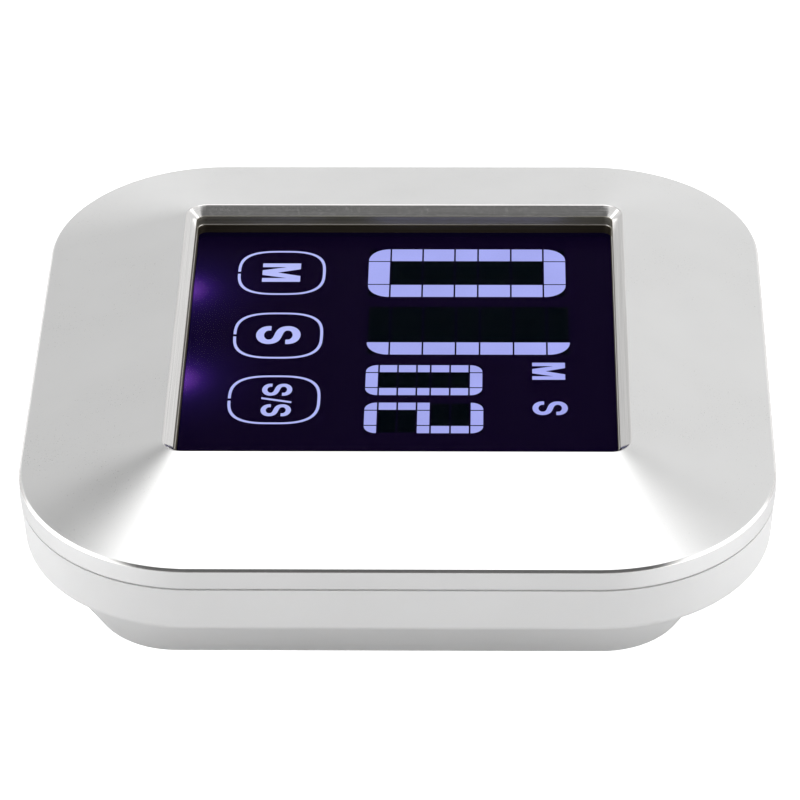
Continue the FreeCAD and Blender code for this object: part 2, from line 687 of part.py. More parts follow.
def battery_door():
    """Sliding door with side tongues, thumb ribs and an end flush with the pedestal."""
    piece = Piece("battery_door")
    inset = Size(0.15)
    outline_side = pedestal_side - inset * 2
    outline = rounded(outline_side, outline_side, pedestal_corner - inset, 0, pedestal_y)
    piece.flare(outline, 0, door_thick, pedestal_flare * (door_thick.value / casing_low.value))
    outer_y = pedestal_y - pedestal_side / 2 + inset
    inner_y = bay_high_y + Size(2.0)
    spare = pedestal_side
    piece.cut(rectangle(spare * 2, spare, 0, inner_y + spare / 2), 0, door_thick)
    for half_width, low, high in ((door_width / 2, Size(0), door_thick / 2 + door_gap / 2),
                                  (door_width / 2 + tongue, Size(0), door_thick)):
        beyond = (rectangle(spare, spare * 2, (half_width + spare / 2) * side, 0)
                  for side in (1, -1))
        piece.cut(several(*beyond), low, high)
    ribs = (rounded(16.0, 0.7, 0.3, 0, outer_y + Size(3.0 + 1.6 * step)) for step in range(5))
    piece.cut(several(*ribs), 0, 0.4)


def cells():
    """Two AAA cells side by side, facing opposite ways."""
    can_length = cell_length - nub_length
    profile = polygon((0, 0), (cell_radius - Size(0.7), 0), (cell_radius, 0.5),
                      (cell_radius, can_length - Size(0.6)),
                      (cell_radius - Size(0.7), can_length), (nub_radius, can_length),
                      (nub_radius, cell_length), (0, cell_length))
    reach = bay_length / 2 - fit_gap - contact_thick
    for label, y, side in (("cell_upper", upper_cell_y(), 1), ("cell_lower", lower_cell_y(), -1)):
        piece = Piece(label)
        piece.turn(profile)
        start = (reach - cell_length) * side
        piece.move(start, y, cell_z, Rotation(Vector(0, 1, 0), 90 * side))


def plate(name, width, height, y, z):
    """A contact plate standing in the X = 0 plane, centred on (y, z)."""
    made = DOC.addObject("Part::Box", name)
    sizes = {"Length": contact_thick, "Width": width, "Height": height,
             "Placement.Base.y": y - width / 2, "Placement.Base.z": z - height / 2}
    for prop, size in sizes.items():
        made.setExpression(prop, size.text)
    return made


def coil(name, height, y):
    """A wire coil along +X from the plate, narrowing towards the cell."""
    spine = DOC.addObject("Part::Helix", name + "_spine")
    for prop, size in (("Radius", coil_radius), ("Pitch", coil_pitch), ("Height", height)):
        spine.setExpression(prop, size.text)
    spine.Angle = -8
    spine.SegmentLength = 1
    wire = DOC.addObject("Part::Circle", name + "_wire")
    wire.setExpression("Radius", wire_radius.text)
    wire.Placement = Placement(Vector(0, 0, 0), Rotation(Vector(1, 0, 0), 90))
    wire.setExpression("Placement.Base.x", coil_radius.text)
    DOC.recompute()
    swept = DOC.addObject("Part::Sweep", name)
    swept.Sections = [wire]
    swept.Spine = (spine, [f"Edge{turn}" for turn in range(1, len(spine.Shape.Edges) + 1)])
    swept.Solid = True
    swept.Frenet = True
    swept.Placement = Placement(Vector(0, 0, 0), Rotation(Vector(0, 1, 0), 90))
    swept.setExpression("Placement.Base.x", (contact_thick + wire_radius * 0.7).text)
    swept.setExpression("Placement.Base.y", y.text)
    return swept


def contact(label, side, y, members):
    """Join a contact's plates and coil, and stand it against one end wall of the bay."""
    made = DOC.addObject("Part::MultiFuse", label)
    made.Label = label
    made.Shapes = members
    turn = 180 if side > 0 else 0
    made.Placement = Placement(Vector(0, 0, 0), Rotation(Vector(0, 0, 1), turn))
    place = {"x": (bay_length / 2 - fit_gap / 2) * side, "y": y, "z": cell_z}
    for axis, size in place.items():
        made.setExpression("Placement.Base." + axis, size.text)
    DOC.recompute()
    PIECES.append(made)


def battery_contacts():
    """A joined contact at the left end, a spring and a plate with tabs at the right end."""
    face = Size(7.6)
    tab_length = board_top - Size(0.15) - cell_z - face / 2
    tab_z = (tab_length + face) / 2
    tab_overlap = Size(0.4)
    spring_room = bay_length - fit_gap * 2 - contact_thick * 2 - cell_length
    coil_height = spring_room - wire_radius * 2
    level = Size(0)
    contact("link_contact", -1, bay_y, [
        plate("link_plate", cell_pitch + face, face, level, level),
        coil("link_coil", coil_height, cell_pitch / 2)])
    contact("spring_contact", 1, lower_cell_y(), [
        plate("spring_plate", face, face, level, level),
        plate("spring_tab", Size(3), tab_length + tab_overlap, level, tab_z - tab_overlap / 2),
        coil("spring_coil", coil_height, level)])
    contact("plate_contact", 1, upper_cell_y(), [
        plate("plate_face", face, face, level, level),
        plate("plate_tab", Size(3), tab_length + tab_overlap, level, tab_z - tab_overlap / 2)])


def buzzer():
    """Brass disc on its ring, the ceramic on it, and two leads up to the board."""
    seat = chamber_floor + Size(0.6)
    disc = Piece("buzzer_disc")
    disc.add(circle(buzzer_radius, 0, magnet_y), seat, seat + disc_thick)
    ceramic = Piece("buzzer_ceramic")
    top = seat + disc_thick * 2
    ceramic.add(circle(ceramic_radius, 0, magnet_y), seat + disc_thick, top)
    leads = Piece("buzzer_leads")
    lead = 0.4
    first = circle(lead, 0, magnet_y)
    leads.add(first, top, board_low)
    edge = buzzer_radius - Size(1.4)
    leads.add(circle(lead, edge, magnet_y), seat + disc_thick, board_low)


def magnets():
    piece = Piece("magnets")
    discs = (circle(magnet_radius, magnet_x * side, magnet_y) for side in (1, -1))
    piece.add(several(*discs), fit_gap, fit_gap + magnet_thick)


def stand():
    """U-shaped stand: two legs, a foot, barrels and moulded trunnions."""
    piece = Piece("stand")
    half = stand_width / 2
    core = half - leg_width
    low, high = -stand_foot, pivot_y
    step = -stand_foot + leg_width
    u_shape = polygon((-half, low), (half, low), (half, high), (core, high), (core, step),
                      (-core, step), (-core, high), (-half, high))
    piece.add(u_shape, stand_inset, stand_top)
    piece.soften("Fillet", stand_round, foot_corners(stand_thick, low))
    for start, end in ((core, half), (-half, -core)):
        piece.add(circle(barrel_radius, pivot_y, pivot_z), start, end, plane="YZ_Plane")
    for start, end in ((half, half + trunnion_length), (-half - trunnion_length, -half)):
        piece.add(circle(trunnion_radius, pivot_y, pivot_z), start, end, plane="YZ_Plane")
    piece.cut(rounded(14, 1.0, 0.4, 0, -stand_foot + Size(3.2)), stand_inset,
              stand_inset + Size(0.5))


def build():
    bezel()
    window_frame()
    glass_stack()
    backlight()
    lcd_holder()
    contact_strip()
    main_board()
    board_pieces()
    slide_switch()
    screws("board_screws", post_x, post_y, small_screw_radius, board_low - Size(0.8),
           Size(0.8), board_top + Size(2.0))
    screws("case_screws", boss_x, boss_y, screw_radius, casing_low + Size(0.1),
           Size(0.9), floor_top + Size(4.8))
    rear_housing()
    battery_door()
    cells()
    battery_contacts()
    buzzer()
    magnets()
    stand()


def write_steps():
    """Stop if anything failed, then write each piece to its own file."""
    DOC.recompute()
    for item in DOC.Objects:
        if "Invalid" in item.State or "Error" in item.State:
            raise RuntimeError(f"{item.Label} failed: {item.State}")
    os.makedirs("parts", exist_ok=True)
    for body in PIECES:
        if body.Shape.isNull() or not body.Shape.isValid():
            raise RuntimeError(body.Label + " has no valid shape")
        body.Shape.exportStep(f"parts/{body.Label}.step")


build()
write_steps()
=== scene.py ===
import math

import bmesh
import bpy
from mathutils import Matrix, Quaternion, Vector


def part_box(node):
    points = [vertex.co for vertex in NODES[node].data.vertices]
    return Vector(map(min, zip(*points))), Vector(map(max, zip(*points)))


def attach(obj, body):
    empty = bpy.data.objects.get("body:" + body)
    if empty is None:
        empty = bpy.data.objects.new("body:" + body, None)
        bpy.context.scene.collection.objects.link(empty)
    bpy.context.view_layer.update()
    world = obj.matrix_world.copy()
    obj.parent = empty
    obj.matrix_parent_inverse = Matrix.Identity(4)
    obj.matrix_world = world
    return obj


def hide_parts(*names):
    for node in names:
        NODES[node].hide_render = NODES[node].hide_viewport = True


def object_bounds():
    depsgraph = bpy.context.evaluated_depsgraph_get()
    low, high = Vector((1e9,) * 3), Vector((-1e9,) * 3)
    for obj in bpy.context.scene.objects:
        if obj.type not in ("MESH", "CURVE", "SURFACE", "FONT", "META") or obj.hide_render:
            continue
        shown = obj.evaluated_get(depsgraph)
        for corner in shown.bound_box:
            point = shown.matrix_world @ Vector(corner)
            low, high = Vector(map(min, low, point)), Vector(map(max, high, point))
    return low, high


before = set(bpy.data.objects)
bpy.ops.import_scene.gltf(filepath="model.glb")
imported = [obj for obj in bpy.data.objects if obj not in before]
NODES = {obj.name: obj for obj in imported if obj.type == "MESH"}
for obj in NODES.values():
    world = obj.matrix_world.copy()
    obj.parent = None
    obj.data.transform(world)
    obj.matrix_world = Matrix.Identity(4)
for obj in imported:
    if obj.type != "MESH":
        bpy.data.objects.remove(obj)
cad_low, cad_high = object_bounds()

# Looks for a square touch-screen countdown timer. Metres, +Z out of the display, +Y is the
# display's up and +X its right. The CAD part gives every place and size that it can.

MM = 0.001

# ---- places read from the frame ----
CASE_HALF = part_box("bezel")[1].x
RIM_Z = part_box("bezel")[1].z
BAND_LOW_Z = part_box("rear_housing")[1].z
FRAME_TOP_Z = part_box("window_frame")[1].z
GLASS_TOP_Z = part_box("touch_lens")[1].z
GLASS_LOW_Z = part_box("touch_sensor")[0].z
GLASS_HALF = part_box("touch_lens")[1].x
DISPLAY_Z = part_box("lcd_front_polariser")[1].z

# ---- sizes, the same as the part's ----
EDGE_BREAK = 0.3 * MM
CROWN = 4.5 * MM
CASE_CORNER = 20.4 * MM
RIM_HALF = 26.4 * MM
RIM_CORNER = 2.3 * MM
CHAMFER_WIDTH = 1.2 * MM
CHAMFER_DEPTH = 0.95 * MM
LEDGE = 0.15 * MM
WALL = 2.0 * MM
CELL_REACH = 25.2 * MM

# Corner arcs and softened profile corners: steps, and the most of a side that softening takes.
ARC_STEPS = 28
SOFT_STEPS = 4
SOFT_SHARE = 0.45
# Edges that turn less than this are shaded smooth, and CAD edges that turn more get a bevel.
CREASE = math.radians(32)
CAD_CREASE = math.radians(30)
CAD_BEVEL = math.radians(40)


# ---------------------------------------------------------------- mesh helpers
def object_from(work, name, materials):
    """Turn a finished bmesh into an object of the scene."""
    mesh = bpy.data.meshes.new(name)
    work.to_mesh(mesh)
    work.free()
    made = bpy.data.objects.new(name, mesh)
    bpy.context.scene.collection.objects.link(made)
    for material in materials:
        mesh.materials.append(material)
    return made


def place_on_case(piece, slot, *replaced):
    """A piece that rides the case, and the CAD nodes it stands for, which are hidden; its material
    slot is not used.
    """
    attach(piece, "case")
    if replaced:
        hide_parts(*replaced)


def weigh_normals(made):
    """Keep flat faces flat beside rounded ones."""
    weighted = made.modifiers.new("weighted_normals", "WEIGHTED_NORMAL")
    weighted.keep_sharp = True


def smooth(made):
    """Smooth shading with sharp creases kept."""
    mesh = made.data
    mesh.shade_smooth()
    work = bmesh.new()
    work.from_mesh(mesh)
    for edge in work.edges:
        if len(edge.link_faces) == 2:
            edge.smooth = edge.calc_face_angle(0) < CREASE
    work.to_mesh(mesh)
    work.free()
    weigh_normals(made)
    return made


def square_ring(half, corner, z):
    """Points round a rounded square, counter-clockwise seen from above."""
    points = []
    for turn in range(4):
        start = math.pi / 2 * turn
        side_x, side_y = ((1, 1), (-1, 1), (-1, -1), (1, -1))[turn]
        centre = Vector((side_x * (half - corner), side_y * (half - corner), z))
        for step in range(ARC_STEPS + 1):
            angle = start + math.pi / 2 * step / ARC_STEPS
            points.append(centre + Vector((math.cos(angle), math.sin(angle), 0)) * corner)
    return points


def soften_profile(stations):
    """Round a profile's corners. A station is (half, corner, z, softness, finish of next face)."""
    rounded = []
    count = len(stations)
    for place, station in enumerate(stations):
        half, corner, z, softness, finish = station
        if softness <= 0:
            rounded.append((half, corner, z, finish))
            continue
        here = Vector((half, corner, z))
        ends = []
        for other in (stations[place - 1], stations[(place + 1) % count]):
            there = Vector(other[:3])
            reach = math.hypot(there.x - here.x, there.z - here.z)
            ends.append(here.lerp(there, min(softness / reach, SOFT_SHARE)))
        for step in range(SOFT_STEPS + 1):
            share = step / SOFT_STEPS
            point = ends[0].lerp(here, share).lerp(here.lerp(ends[1], share), share)
            rounded.append((*point, finish))
    return rounded


def join_rings(work, first, second):
    """The faces between two rings of the same number of corners."""
    faces = []
    for step in range(len(first)):
        after = (step + 1) % len(first)
        faces.append(work.faces.new((first[step], first[after], second[after], second[step])))
    return faces


def ring_shell(name, stations, materials):
    """A closed frame: rounded squares joined one after another, the last to the first."""
    profile = soften_profile(stations)
    work = bmesh.new()
    rings = [[work.verts.new(point) for point in square_ring(half, corner, z)]
             for half, corner, z, finish in profile]
    for place, ring in enumerate(rings):
        for face in join_rings(work, ring, rings[(place + 1) % len(rings)]):
            face.material_index = profile[place][3]
    bmesh.ops.recalc_face_normals(work, faces=work.faces)
    return smooth(object_from(work, name, materials))


def plates(name, outlines, z, thick, material):
    """Thin raised shapes, one for each outline of (x, y) points in millimetres."""
    work = bmesh.new()
    for outline in outlines:
        corners = [work.verts.new((x * MM, y * MM, z)) for x, y in outline]
        face = work.faces.new(corners)
        if face.normal.z < 0:
            face.normal_flip()
        made = bmesh.ops.extrude_face_region(work, geom=[face])
        lifted = [item for item in made["geom"] if isinstance(item, bmesh.types.BMVert)]
        bmesh.ops.translate(work, verts=lifted, vec=(0, 0, thick))
    bmesh.ops.recalc_face_normals(work, faces=work.faces)
    return object_from(work, name, [material])


# ---------------------------------------------------------------- material helpers
class Shader:
    """Short calls for building the nodes of one material, or of the world."""

    def __init__(self, name, kind="Material", coordinates="Object"):
        shelf = bpy.data.worlds if kind == "World" else bpy.data.materials
        self.owner = shelf.new(name)
        self.owner.use_nodes = True
        self.tree = self.owner.node_tree
        self.tree.nodes.clear()
        self.out = self.add("ShaderNodeOutput" + kind)
        self.place = self.add("ShaderNodeTexCoord").outputs[coordinates]

    def add(self, kind, **settings):
        node = self.tree.nodes.new(kind)
        for key, value in settings.items():
            if key in node.inputs:
                self.feed(node.inputs[key], value)
            else:
                setattr(node, key, value)
        return node

    def feed(self, socket, value):
        if isinstance(value, bpy.types.NodeSocket):
            self.tree.links.new(value, socket)
        else:
            socket.default_value = value

    def math(self, operation, first, second=0.0):
        node = self.add("ShaderNodeMath", operation=operation)
        for socket, value in zip(node.inputs, (first, second)):
            self.feed(socket, value)
        return node.outputs[0]

    def vector(self, operation, first, second=None):
        """The outputs of a vector sum, product or length."""
        node = self.add("ShaderNodeVectorMath", operation=operation)
        self.feed(node.inputs[0], first)
        if second is not None:
            self.feed(node.inputs[1], second)
        return node.outputs

    def mix(self, share, first, second):
        """Two surfaces mixed: a share of 0 gives the first."""
        node = self.add("ShaderNodeMixShader")
        for socket, value in zip(node.inputs, (share, first, second)):
            self.feed(socket, value)
        return node.outputs[0]

    def noise(self, scale, detail=3.0, rough=0.5, place=None):
        node = self.add("ShaderNodeTexNoise", Scale=scale, Detail=detail, Roughness=rough)
        self.feed(node.inputs["Vector"], place or self.place)
        return node.outputs["Fac"]

    def lines(self, along, across, detail, rough):
        """Machining lines that run level round the part: lumps per metre along and across."""
        stretched = self.vector("MULTIPLY", self.place, (along, along, across))[0]
        return self.noise(1.0, detail, rough, stretched)

    def ramp(self, factor, *stops):
        """Colours at positions along a factor."""
        node = self.add("ShaderNodeValToRGB")
        self.feed(node.inputs["Fac"], factor)
        line = node.color_ramp
        while len(line.elements) < len(stops):
            line.elements.new(0.5)
        for element, (position, colour) in zip(line.elements, stops):
            element.position = position
            element.color = (*colour, 1.0) if len(colour) == 3 else colour
        return node.outputs["Color"]

    def span(self, factor, low, high):
        """Map a 0 to 1 factor onto a range."""
        node = self.add("ShaderNodeMapRange")
        self.feed(node.inputs["Value"], factor)
        node.inputs["To Min"].default_value = low
        node.inputs["To Max"].default_value = high
        return node.outputs[0]

    def bump(self, height, depth, strength):
        node = self.add("ShaderNodeBump", Strength=strength, Distance=depth)
        self.feed(node.inputs["Height"], height)
        return node.outputs["Normal"]

    def axes(self):
        return self.add("ShaderNodeSeparateXYZ", Vector=self.place).outputs

    def principled(self, **inputs):
        node = self.add("ShaderNodeBsdfPrincipled")
        for key, value in inputs.items():
            self.feed(node.inputs[key.replace("_", " ")], value)
        return node.outputs[0]

    def glowing(self, colour, base=(0.002, 0.001, 0.004, 1)):
        """A surface that shines in a colour, with a nearly black base and no gloss."""
        return self.principled(Base_Color=base, Roughness=0.6, Specular_IOR_Level=0.0,
                               Emission_Color=colour, Emission_Strength=1.0)

    def finish(self, surface):
        self.feed(self.out.inputs["Surface"], surface)
        return self.owner


def shade(colour, amount):
    return tuple(min(1.0, channel * amount) for channel in colour)


def satin_metal():
    """Fine bead-blasted silver with a soft sheen."""
    s = Shader("satin_metal")
    grain = s.noise(scale=5200, detail=2.0, rough=0.7)
    cloud = s.noise(scale=70)
    colour = s.ramp(cloud, (0.3, (0.83, 0.83, 0.825)), (0.7, (0.87, 0.87, 0.865)))
    rough = s.math("ADD", s.span(cloud, 0.25, 0.27), s.math("MULTIPLY", grain, 0.05))
    return s.finish(s.principled(Base_Color=colour, Metallic=1.0, Roughness=rough,
                                 Normal=s.bump(grain, 0.00002, 0.35)))


def band_metal():
    """The upright band: brushed along its length."""
    s = Shader("band_metal")
    lines = s.lines(60, 9000, detail=2.0, rough=0.6)
    cloud = s.noise(scale=90, detail=2.0)
    colour = s.ramp(cloud, (0.3, (0.90, 0.90, 0.90)), (0.7, (0.93, 0.93, 0.93)))
    return s.finish(s.principled(Base_Color=colour, Metallic=1.0,
                                 Roughness=s.span(lines, 0.26, 0.36),
                                 Normal=s.bump(lines, 0.00001, 0.12)))


def polished_metal():
    """Diamond-cut metal with faint machining lines that run round the opening."""
    s = Shader("polished_metal")
    lines = s.lines(40, 12000, detail=3.0, rough=0.7)
    nicks = s.noise(scale=2600, detail=1.0)
    colour = s.ramp(lines, (0.35, (0.76, 0.75, 0.74)), (0.65, (0.90, 0.89, 0.88)))
    rough = s.ramp(nicks, (0.45, (0.12,) * 3), (0.85, (0.22,) * 3))
    return s.finish(s.principled(Base_Color=colour, Metallic=1.0, Roughness=rough,
                                 Normal=s.bump(lines, 0.000012, 0.5)))


def wall_metal(name, tint):
    """An upright wall of the window: metal toned dark and less polished. Its tint also carries
    painted shade, set darker for the deeper lip.
    """
    s = Shader(name)
    lines = s.lines(25, 9000, detail=3.0, rough=0.7)
    colour = s.ramp(lines, (0.35, shade(tint, 0.8)), (0.65, shade(tint, 1.2)))
    return s.finish(s.principled(Base_Color=colour, Metallic=0.9,
                                 Roughness=s.span(lines, 0.42, 0.56),
                                 Normal=s.bump(lines, 0.000012, 0.4)))


def white_plastic():
    """Moulded white ABS: a faint spark-eroded grain and slight unevenness."""
    s = Shader("white_plastic")
    grain = s.noise(scale=3800, detail=2.0, rough=0.6)
    cloud = s.noise(scale=55)
    colour = s.ramp(cloud, (0.3, (0.78,) * 3), (0.7, (0.808,) * 3))
    return s.finish(s.principled(Base_Color=colour, Roughness=s.span(grain, 0.34, 0.44),
                                 Subsurface_Weight=0.08, Subsurface_Radius=(0.8, 0.7, 0.6),
                                 Subsurface_Scale=0.0012, IOR=1.5,
                                 Normal=s.bump(grain, 0.00002, 0.25)))


def plain_plastic(name, tint, rough):
    s = Shader(name)
    grain = s.noise(scale=3000, detail=2.0)
    colour = s.ramp(grain, (0.3, shade(tint, 0.9)), (0.7, shade(tint, 1.08)))
    return s.finish(s.principled(Base_Color=colour, Roughness=s.span(grain, rough, rough + 0.12),
                                 Normal=s.bump(grain, 0.00002, 0.3)))


def plain_metal(name, tint):
    s = Shader(name)
    lines = s.lines(400, 9000, detail=2.0, rough=0.6)
    colour = s.ramp(lines, (0.3, shade(tint, 0.88)), (0.7, shade(tint, 1.05)))
    return s.finish(s.principled(Base_Color=colour, Metallic=1.0,
                                 Roughness=s.span(lines, 0.25, 0.40),
                                 Normal=s.bump(lines, 0.00001, 0.4)))


def circuit_board():
    """Green solder mask with slightly raised copper tracks."""
    s = Shader("circuit_board")
    tracks = s.add("ShaderNodeTexBrick", Scale=260.0, Vector=s.place, Mortar=(0.03, 0.22, 0.08, 1),
                   Color1=(0.010, 0.11, 0.035, 1), Color2=(0.012, 0.13, 0.045, 1))
    tracks.inputs["Mortar Size"].default_value = 0.06
    return s.finish(s.principled(Base_Color=tracks.outputs["Color"], Roughness=0.3,
                                 Normal=s.bump(tracks.outputs["Fac"], 0.00004, 0.5)))


def cell_wrap():
    """Plain printed foil: a dark body, a copper shoulder band and bare steel ends."""
    s = Shader("cell_wrap")
    along = s.math("ABSOLUTE", s.axes()["X"])
    share = s.math("MULTIPLY", along, 1 / CELL_REACH)
    colour = s.ramp(share, (0.0, (0.030, 0.034, 0.042)), (0.46, (0.030, 0.034, 0.042)),
                    (0.47, (0.75, 0.36, 0.16)), (0.955, (0.75, 0.36, 0.16)),
                    (0.96, (0.75, 0.75, 0.74)))
    wear = s.noise(scale=500, detail=4.0)
    return s.finish(s.principled(Base_Color=colour, Metallic=0.75,
                                 Roughness=s.span(wear, 0.24, 0.42),
                                 Normal=s.bump(wear, 0.00002, 0.2)))


def cover_glass_material():
    """Clear cover glass: light bends through it and only glancing views see a reflection."""
    s = Shader("cover_glass")
    smear = s.noise(scale=120, detail=4.0)
    bend = s.add("ShaderNodeBsdfRefraction", IOR=1.5, Roughness=0.0, Color=(0.97, 0.97, 1.0, 1))
    shine = s.add("ShaderNodeBsdfGlossy", Roughness=s.span(smear, 0.03, 0.09))
    facing = s.add("ShaderNodeLayerWeight", Blend=0.5).outputs["Facing"]
    amount = s.math("MULTIPLY", s.math("POWER", facing, 6.0), 0.30)
    return s.finish(s.mix(amount, bend.outputs[0], shine.outputs[0]))


def glow_at(s, x, y, radius):
    """Brightness that falls away from one point of the display."""
    offset = s.vector("SUBTRACT", s.place, (x * MM, y * MM, DISPLAY_Z))[0]
    length = s.vector("LENGTH", offset)["Value"]
    fall = s.math("MULTIPLY", length, 1 / (radius * MM))
    return s.math("POWER", math.e, s.math("MULTIPLY", s.math("MULTIPLY", fall, fall), -1.0))


def display_film():
    """The unlit display: near-black violet with the backlight's two hot spots leaking in."""
    s = Shader("display_film")
    left = glow_at(s, -13.1, -26.1, 2.7)
    right = glow_at(s, 6.3, -26.1, 2.9)
    wide_left = glow_at(s, -12.6, -27.0, 6.6)
    wide_right = glow_at(s, 5.8, -27.0, 6.6)
    grain = s.noise(scale=2400, detail=2.0)
    spots = s.math("MULTIPLY", s.math("ADD", left, right), 0.72)
    wide = s.math("MULTIPLY", s.math("ADD", wide_left, wide_right), 0.42)
    total = s.math("MULTIPLY", s.math("ADD", spots, wide), s.span(grain, 0.85, 1.15))
    colour = s.ramp(total, (0.0, (0.0026, 0.0009, 0.0093)), (0.2, (0.0072, 0.0030, 0.034)),
                    (0.5, (0.024, 0.0080, 0.100)), (1.0, (0.105, 0.030, 0.28)))
    return s.finish(s.glowing(colour))


def tape_film():
    """The tape's underside of the glass border: nearly black with a blue cast, given as a faint
    painted glow instead of a lit colour.
    """
    s = Shader("tape_film")
    grain = s.noise(scale=2400, detail=2.0)
    colour = s.ramp(grain, (0.3, (0.0017, 0.0009, 0.0070)), (0.7, (0.0022, 0.0012, 0.0090)))
    return s.finish(s.glowing(colour))


def lit_segment(name, tint):
    """Backlit lavender, slightly uneven as the light guide makes it."""
    s = Shader(name)
    cloud = s.noise(scale=90, detail=2.0)
    fine = s.noise(scale=5000, detail=1.0)
    mixed = s.math("ADD", s.math("MULTIPLY", cloud, 0.8), s.math("MULTIPLY", fine, 0.2))
    colour = s.ramp(mixed, (0.3, shade(tint, 0.91)), (0.7, shade(tint, 1.09)))
    return s.finish(s.add("ShaderNodeEmission", Color=colour).outputs[0])


def dark_segment():
    """Unlit segments: blacker than the film round them, with a green-blue cast."""
    s = Shader("dark_segment")
    fine = s.noise(scale=3000, detail=1.0)
    colour = s.ramp(fine, (0.3, (0.0, 0.0006, 0.0016)), (0.7, (0.0003, 0.0012, 0.0022)))
    return s.finish(s.glowing(colour, base=(0.001, 0.001, 0.001, 1)))


# ---------------------------------------------------------------- front pieces
def build_bezel(metals):
    """Satin frame with a polished edge break and window chamfer, and a duller window wall."""
    satin, polished, band, wall = range(4)
    face_z = RIM_Z - CROWN
    band_top = face_z - EDGE_BREAK
    knee = 27.0 * MM
    hollow = CASE_HALF - WALL
    hollow_corner = CASE_CORNER - WALL
    hollow_z = BAND_LOW_Z + 1.0 * MM
    opening = RIM_HALF - CHAMFER_WIDTH
    opening_corner = RIM_CORNER - CHAMFER_WIDTH
    stations = (
        (CASE_HALF, CASE_CORNER, BAND_LOW_Z, 0.12 * MM, band),
        (CASE_HALF, CASE_CORNER, band_top, 0.05 * MM, polished),
        (CASE_HALF - EDGE_BREAK, CASE_CORNER - EDGE_BREAK, face_z, 0.05 * MM, satin),
        (RIM_HALF, RIM_CORNER, RIM_Z, 0.10 * MM, polished),
        (opening, opening_corner, RIM_Z - CHAMFER_DEPTH, 0.08 * MM, wall),
        (opening, opening_corner, FRAME_TOP_Z, 0.04 * MM, polished),
        (knee, RIM_CORNER, FRAME_TOP_Z, 0, satin),
        (hollow, hollow_corner, hollow_z, 0, satin),
        (hollow, hollow_corner, BAND_LOW_Z, 0, band),
    )
    place_on_case(ring_shell("front_bezel", stations, metals), "satin_metal", "bezel")


def build_window_lip(finishes):
    """The wall between the bezel and the glass, with a bright machined ledge on top."""
    wall, black, ledge = range(3)
    view = RIM_HALF - CHAMFER_WIDTH - LEDGE
    corner = RIM_CORNER - CHAMFER_WIDTH - LEDGE
    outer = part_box("window_frame")[1].x
    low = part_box("window_frame")[0].z
    pocket = GLASS_HALF + 0.1 * MM
    over_glass = GLASS_TOP_Z + 0.01 * MM
    shoulder = FRAME_TOP_Z - 0.8 * MM
    neck = outer - WALL
    stations = (
        (view, corner, FRAME_TOP_Z, 0.07 * MM, wall),
        (view, corner, over_glass, 0.04 * MM, wall),
        (pocket, RIM_CORNER, over_glass, 0, black),
        (pocket, RIM_CORNER, low, 0, black),
        (outer, RIM_CORNER * 1.5, low, 0, black),
        (outer, RIM_CORNER * 1.5, shoulder, 0, black),
        (neck, RIM_CORNER, shoulder, 0, black),
        (neck, RIM_CORNER, FRAME_TOP_Z, 0, ledge),
    )
    place_on_case(ring_shell("window_lip", stations, finishes), "black_plastic", "window_frame")


def build_cover_glass(material):
    """One clear plate for the bonded cover glass and sensor film."""
    work = bmesh.new()
    low, high = ([work.verts.new(point) for point in square_ring(GLASS_HALF, RIM_CORNER, z)]
                 for z in (GLASS_LOW_Z, GLASS_TOP_Z))
    join_rings(work, low, high)
    work.faces.new(low)
    work.faces.new(high)
    bmesh.ops.recalc_face_normals(work, faces=work.faces)
    piece = object_from(work, "cover_glass", [material])
    place_on_case(piece, "cover_glass", "touch_lens", "touch_sensor")


# ---------------------------------------------------------------- display artwork
# Millimetres on the display: x to its right, y up. The whole artwork sits slightly off centre.
SPLITS = (0.0, 0.112, 0.275, 0.438, 0.556, 0.723, 0.887, 1.0)
LINE_GAP = 0.2
LAST_BLOCK = 6
EVERY_BLOCK = range(LAST_BLOCK + 1)
BLOCK_ROUND = 0.95
BLOCK_STEPS = 8
SHADOW_INSET = 0.15
KEY_STROKE = 0.34
KEY_GAP = 0.5
KEY_SQUARENESS = 3.0
KEY_STEPS = 96
S_STEPS = 18


def block(left, low, right, high, round_at=(), radius=0.0):
    """A rectangle with some corners rounded: names such as low_left say which."""
    corners = (("low_left", left, low, 180), ("low_right", right, low, 270),
               ("high_right", right, high, 0), ("high_left", left, high, 90))
    points = []
    for name, x, y, start in corners:
        if name not in round_at:
            points.append((x, y))
            continue
        reach_x = min(radius, right - left)
        reach_y = min(radius, high - low)
        middle_x = x + reach_x if "left" in name else x - reach_x
        middle_y = y + reach_y if "low" in name else y - reach_y
        for step in range(BLOCK_STEPS + 1):
            angle = math.radians(start + 90 * step / BLOCK_STEPS)
            points.append((middle_x + reach_x * math.cos(angle),
                           middle_y + reach_y * math.sin(angle)))
    return points


